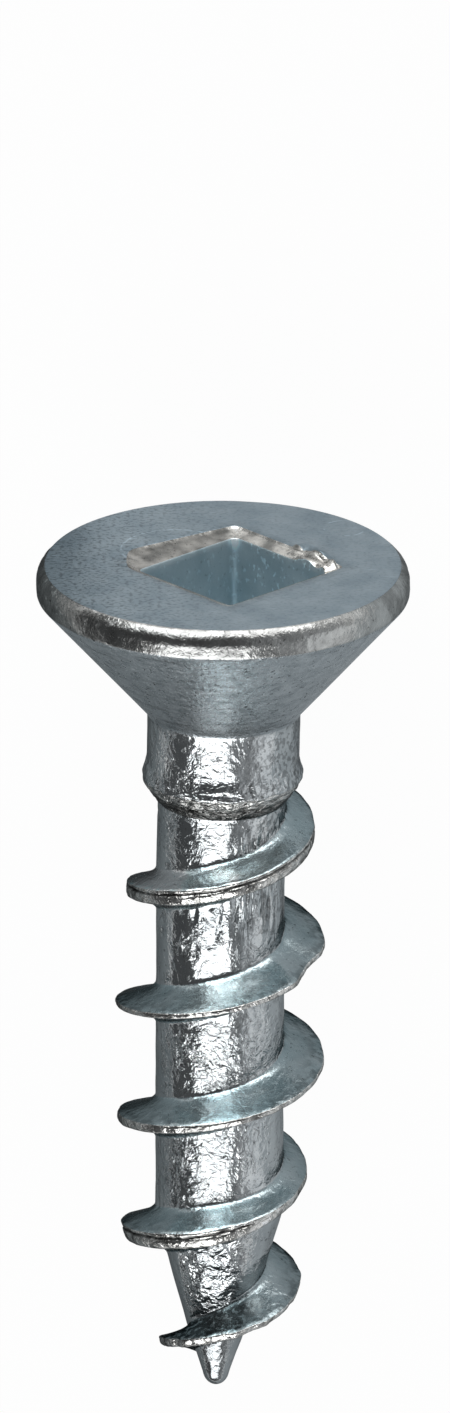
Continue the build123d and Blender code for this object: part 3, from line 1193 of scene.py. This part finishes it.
def wobble(point, grains, seed):
    """Noise from about -1 to 1 at a point, with its own grain in each direction."""
    x, y, z = (value * grain for value, grain in zip(point, grains))
    return soft_noise.noise(Vector((x + seed * 7.3, y - seed * 3.1, z + seed)))


def window(value, low, high, soft):
    """1 between low and high, easing to 0 over a soft edge on both sides."""
    inside = min(value - low, high - value) / soft + 1.0
    inside = max(0.0, min(1.0, inside))
    return inside * inside * (3 - 2 * inside)


def mouth_lift(point):
    """How far the punch raised the metal: a burr on the right, a flared corner on the far left."""
    from_middle = point - RECESS_CENTRE
    if point.z <= -0.2 or from_middle.length >= 2.6:
        return 0.0
    way = math.degrees(math.atan2(from_middle.y, from_middle.x))
    reach = math.hypot(from_middle.x, from_middle.y)
    burr = window(way, 2.0, 38.0, 3.0) * window(reach, 1.56, 2.16, 0.08)
    flare = window(way, 170.0, 178.0, 5.0) * window(reach, 2.1, 2.3, 0.10)
    across_wall = point.x * math.cos(RECESS_TURN) + point.y * math.sin(RECESS_TURN)
    along_wall = point.y * math.cos(RECESS_TURN) - point.x * math.sin(RECESS_TURN)
    curl = wobble((along_wall, across_wall, 0.0), (3.0, 11.0, 1.0), 11)
    return burr * (0.08 + 0.13 * curl) + flare * (0.03 + 0.05 * curl)


def pinch(point):
    """What is left of the width at the pinched point."""
    past = max(0.0, min((-point.z - PINCH_START) / PINCH_RUN, 1.0))
    return 1.0 - (PINCH_RIGHT if point.x > 0 else PINCH_LEFT) * past


print("the point is pinched over", PINCH_RUN, "mm")

# %% [markdown]
# ## Marks on ledge, neck and rim
# The ledge is folded metal with creases that run round it, the neck has faint waves, and the rim has
# shallow dents. A crease is made like those on the core: the noise's passage through zero is turned into a
# narrow valley. Every mark goes along the surface's own outward direction, and a small step inward keeps
# the waves within the frame's sizes.

# %% Rules for ledge, neck and rim
LEDGE_START = 4.45
NECK_START = 3.3
SHANK_INSIDE = 1.30
RIM_INSIDE = 3.7
RIM_MARKS_END = RIM_DEPTH + 0.02


def crease(value):
    """Turn soft noise into narrow valleys."""
    return -max(0.0, 1.0 - abs(value) * 6.0)


def ledge_mark(point, depth):
    """Folds and creases round the ledge, none at its two ends."""
    around = math.atan2(point.y, point.x)
    strength = min((depth - LEDGE_START) / 0.3, 1.0) * min((CORE_TOP - depth) / 0.1, 1.0)
    along = (around * 1.5, 0.0, (depth + 0.05 * math.sin(around * 3 + 1)) * 7.0)
    change = wobble(along, (1.0, 1.0, 1.0), 3) * 0.035 + wobble(point, (3.0, 3.0, 5.0), 4) * 0.02
    folds = crease(wobble(along, (2.0, 1.0, 1.6), 13)) * 0.055 * min(max(depth - 4.70, 0.0) / 0.1, 1.0)
    return (change + folds - 0.004) * strength


def neck_mark(point, depth):
    """Faint waves on the neck."""
    strength = min((depth - NECK_START) / 0.2, 1.0)
    change = wobble(point, (1.6, 1.6, 0.8), 5) * 0.012 + wobble(point, (4.5, 4.5, 3.0), 6) * 0.006
    return (change - 0.008) * strength


def rim_mark(point):
    """Shallow dents and creases on the rim, never outward."""
    change = wobble(point, (2.5, 2.5, 3.0), 7) * 0.010 + crease(wobble(point, (1.6, 1.6, 0.6), 8)) * 0.012
    return min(change - 0.004, 0.0)


def mark_at(point):
    """How far outward a point of the skin moves."""
    depth = -point.z
    radius = math.hypot(point.x, point.y)
    if LEDGE_START < depth < CORE_TOP and radius > SHANK_INSIDE:
        return ledge_mark(point, depth)
    if NECK_START < depth <= LEDGE_START and radius > SHANK_INSIDE:
        return neck_mark(point, depth)
    if 0.0 < depth < RIM_MARKS_END and radius > RIM_INSIDE:
        return rim_mark(point)
    return 0.0


body.normal_update()
outward_at = {vertex: vertex.normal.copy() for vertex in body.verts}
for vertex in body.verts:
    vertex.co.z += mouth_lift(vertex.co)
    vertex.co.x *= pinch(vertex.co)
    vertex.co += outward_at[vertex] * mark_at(vertex.co)
print("marks made on", len(outward_at), "points")

# %% [markdown]
# ## Laying the screw down
# The upright screw is carried to where the frame has it. Small screws are seldom dead straight, so the
# shank gets a bend of less than a tenth of a millimetre first. Last, every point is held inside the frame's
# box.

# %% Place the piece
BEND = [(0.0, 0.0), (3.3, 0.03), (5.2, 0.0), (7.0, -0.035), (14.0, -0.035), (19.05, -0.09)]


def bend_at(depth):
    """Sideways drift of the shank at a depth."""
    for (top, drift_a), (bottom, drift_b) in zip(BEND, BEND[1:]):
        if top <= depth <= bottom:
            way = (depth - top) / (bottom - top)
            return drift_a + (drift_b - drift_a) * (3 * way**2 - 2 * way**3)
    return 0.0


for vertex in body.verts:
    vertex.co.x += bend_at(-vertex.co.z)
    vertex.co = screw_place @ vertex.co
    vertex.co = Vector(max(low, min(high, v)) for v, low, high in zip(vertex.co, frame_low, frame_high))
for face in body.faces:
    face.smooth = True
skin_mesh = bpy.data.meshes.new("screw_skin")
body.to_mesh(skin_mesh)
body.free()
for name in finish_names:
    skin_mesh.materials.append(finishes[name])
for attribute in ("rows_from_crest", "ridge_height", "bare_core"):
    if attribute in skin_mesh.attributes:
        skin_mesh.attributes.remove(skin_mesh.attributes[attribute])
screw = in_scene("screw_skin", skin_mesh)
print("triangles:", sum(len(polygon.vertices) - 2 for polygon in skin_mesh.polygons))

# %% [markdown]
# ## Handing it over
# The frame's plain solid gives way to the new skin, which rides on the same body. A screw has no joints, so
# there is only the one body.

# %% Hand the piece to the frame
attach(screw, "root")
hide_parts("screw")
print("screw rides on root and stands for the plain solid")

# %% [markdown]
# ## The table
# The screw lies on plain white. The floor is a pale matt board that takes the screw's soft shadow. More
# light could make it white, but would burn out the metal. So to the camera, and partly in the metal's
# reflections, the board is mixed with a plain glow of strength 1, which is exactly white. What stands round
# the screw is measured in metres.

# %% Lay the floor
FLOOR_HALF = 0.6
FLOOR_DROP = 0.00002
GLOW_SEEN = 0.97
GLOW_MIRRORED = 0.40
GLOW_THROUGH = 0.90
floor_height = frame_low.z


def flat_sheet(name, corners, height, finish_name):
    """A flat piece of the set, and the node tree of its finish, which has no shader yet."""
    mesh = bpy.data.meshes.new(name)
    mesh.from_pydata([(x, y, height) for x, y in corners], [], [range(len(corners))])
    finish = bpy.data.materials.new(finish_name)
    finish.use_nodes = True
    nodes = finish.node_tree.nodes
    nodes.remove(nodes["Principled BSDF"])
    mesh.materials.append(finish)
    return in_scene(name, mesh), finish.node_tree


floor_corners = [(x * FLOOR_HALF, y * FLOOR_HALF) for x, y in ((-1, -1), (1, -1), (1, 1), (-1, 1))]
floor, board = flat_sheet("table", floor_corners, floor_height - FLOOR_DROP, "white_board")
matt = add(board, "ShaderNodeBsdfDiffuse", {"Color": (0.86, 0.86, 0.86, 1.0)})
glow = add(board, "ShaderNodeEmission", {"Color": (1.0, 1.0, 1.0, 1.0), "Strength": 1.0})
path = board.nodes.new("ShaderNodeLightPath")
seen = Field(path.outputs["Is Camera Ray"]) * GLOW_SEEN
seen = seen + Field(path.outputs["Is Glossy Ray"]) * GLOW_MIRRORED
seen = seen + Field(path.outputs["Is Transmission Ray"]) * GLOW_THROUGH
blend = add(board, "ShaderNodeMixShader", {
    "Fac": seen.clipped(0.0, GLOW_SEEN),
    1: matt.outputs[0],
    2: glow.outputs[0],
})
feed(blend.outputs[0], board.nodes["Material Output"].inputs["Surface"])
print("floor at", round(floor_height * 1000, 3), "mm")

# %% [markdown]
# ## Cards of light
# Metal shows what stands round it, so it is lit with cards, not with points. A broad bright card faces the
# shank and leans toward the point: it makes the white strip down the neck and the core. A small card toward
# the head lights the flanks of the thread, a dim one on the right models that side, and one over the head
# lights its face. The lower left stays dark, which gives the glints there something to stand out from.

# %% Hang the cards
CARD_DISTANCE = 0.20
AIM_DEPTH = 0.008
cards_aim = face_centre + to_point * AIM_DEPTH


def card(name, azimuth, elevation, width, height, strength, colour=(1.0, 1.0, 1.0)):
    """A glowing card, its sizes in metres.

    azimuth runs from the front toward the right, elevation toward the head, both in degrees.
    """
    around = math.radians(azimuth)
    lift = math.radians(elevation)
    flat = to_front * math.cos(around) + to_right * math.sin(around)
    direction = flat * math.cos(lift) + to_head * math.sin(lift)
    lamp = bpy.data.lights.new(name, "AREA")
    lamp.shape = "RECTANGLE"
    lamp.size = width
    lamp.size_y = height
    lamp.energy = strength * width * height * math.pi
    lamp.color = colour
    across = to_head.cross(direction).normalized()
    upward = direction.cross(across)
    axes = Matrix((across, upward, direction)).transposed().to_4x4()
    thing = in_scene(name, lamp)
    thing.matrix_world = Matrix.Translation(cards_aim + direction * CARD_DISTANCE) @ axes
    thing.visible_camera = False


card("card_over_shank", -13.0, -40.0, 0.21, 0.16, 2.3, (0.97, 0.985, 1.0))
card("card_over_flanks", -50.0, 54.0, 0.14, 0.09, 1.5, (0.94, 0.98, 1.0))
card("card_right", 75.0, -15.0, 0.16, 0.20, 0.40, (0.94, 0.97, 1.0))
card("card_over_head", 0.0, 77.0, 0.30, 0.15, 1.6)

# %% [markdown]
# ## Papers beside the screw
# A white table mirrored in the sides of a round bar would make them vanish against it. A photographer lays
# grey papers there. These two are seen only in reflections: they cast no shadow, and they are cut out in
# front of the head's face, so that the face doesn't mirror them.

# %% Lay the papers
PAPER_WIDTH = 0.05
CUT_OUT = 0.0037
PAPER_LIFT = 0.00001
PAST_POINT = 0.02
PAST_FACE = 0.012
paper_start = frame_low.x - PAST_POINT
face_end = frame_high.x
paper_end = face_end + PAST_FACE
paper_outline = [
    (paper_start, 0),
    (face_end, 0),
    (face_end, CUT_OUT),
    (paper_end, CUT_OUT),
    (paper_end, PAPER_WIDTH),
    (paper_start, PAPER_WIDTH),
]


def paper_beside(name, side, colour):
    """A sheet of paper on one side of the screw, 1 for the left and -1 for the right."""
    corners = [(x, side * y) for x, y in paper_outline]
    sheet, tree = flat_sheet(name, corners, floor_height + PAPER_LIFT, name)
    glow = add(tree, "ShaderNodeEmission", {"Color": (*colour, 1.0)})
    feed(glow.outputs[0], tree.nodes["Material Output"].inputs["Surface"])
    sheet.visible_camera = False
    sheet.visible_diffuse = False
    sheet.visible_shadow = False
    sheet.visible_transmission = False


paper_beside("dark_paper_left", 1, (0.17, 0.19, 0.20))
paper_beside("grey_paper_right", -1, (0.35, 0.38, 0.40))
print("papers reach", PAPER_WIDTH * 1000, "mm to each side")

# %% [markdown]
# ## The surroundings
# What no card fills is the room. It is dim and faintly blue, a little brighter on the right and over the
# head. A dot product with one of the screw's axes says how far a direction points that way. The camera sees
# the room as plain white, so that the background has no edge.

# %% Colour the surroundings
world = bpy.data.worlds.new("surroundings")
bpy.context.scene.world = world
world.use_nodes = True
sky = world.node_tree
looking = sky.nodes.new("ShaderNodeTexCoord")


def toward(axis):
    """How far a direction of the surroundings points along one of the screw's axes."""
    dot = add(sky, "ShaderNodeVectorMath", {0: looking.outputs["Generated"], 1: axis})
    dot.operation = "DOT_PRODUCT"
    return Field(dot.outputs["Value"])


right_side = toward(to_right).eased(0.10, 0.75)
head_side = toward(to_head).eased(0.75, 0.98)
level = right_side * 0.22 + head_side * 0.5 + 0.07
room = sky.nodes["Background"]
feed_all(room, {"Color": (0.92, 0.96, 1.0, 1.0), "Strength": level})
plain_white = add(sky, "ShaderNodeBackground", {"Color": (1.0, 1.0, 1.0, 1.0)})
either = add(sky, "ShaderNodeMixShader", {
    "Fac": sky.nodes.new("ShaderNodeLightPath").outputs["Is Camera Ray"],
    1: room.outputs[0],
    2: plain_white.outputs[0],
})
feed(either.outputs[0], sky.nodes["World Output"].inputs["Surface"])
print("surroundings:", len(sky.nodes), "nodes")

# %% [markdown]
# ## The camera
# The photo looks at the head from 22 degrees above its flat, with the head at the top of the picture. On
# the lying screw that is a camera above it, so its own upward direction points along the screw. A long lens
# from 42 centimetres away keeps the sides of the shank as parallel as they are in the photo. Its sizes are
# millimetres, as on a real lens.

# %% Set up the camera
PICTURE_HEIGHT = 1413
PIXELS_PER_MM = 46.85
FACE_ABOVE_MIDDLE = 141.5
FACE_LEFT_OF_MIDDLE = 2.5
DISTANCE = 420.0
SENSOR = 36.0
view_lift = math.radians(21.7)
roll = math.radians(0.2)
look_from = to_front * math.cos(view_lift) + to_head * math.sin(view_lift)
straight_up = to_head * math.cos(view_lift) - to_front * math.sin(view_lift)
picture_up = straight_up * math.cos(roll) - to_right * math.sin(roll)
picture_right = picture_up.cross(look_from)
off_face = to_right * FACE_LEFT_OF_MIDDLE - straight_up * FACE_ABOVE_MIDDLE
aim = face_centre + off_face * (MM / PIXELS_PER_MM)
camera_data = bpy.data.cameras.new("camera")
camera_data.sensor_fit = "VERTICAL"
camera_data.sensor_height = SENSOR
camera_data.lens = SENSOR * DISTANCE / (PICTURE_HEIGHT / PIXELS_PER_MM)
camera_data.clip_start = 0.01
camera_data.clip_end = 10.0
camera = in_scene("camera", camera_data)
turned_to = Matrix((picture_right, picture_up, look_from)).transposed().to_4x4()
camera.matrix_world = Matrix.Translation(aim + look_from * DISTANCE * MM) @ turned_to
bpy.context.scene.camera = camera
bpy.context.scene.view_settings.view_transform = "Standard"
print("lens, mm:", round(camera_data.lens, 1))
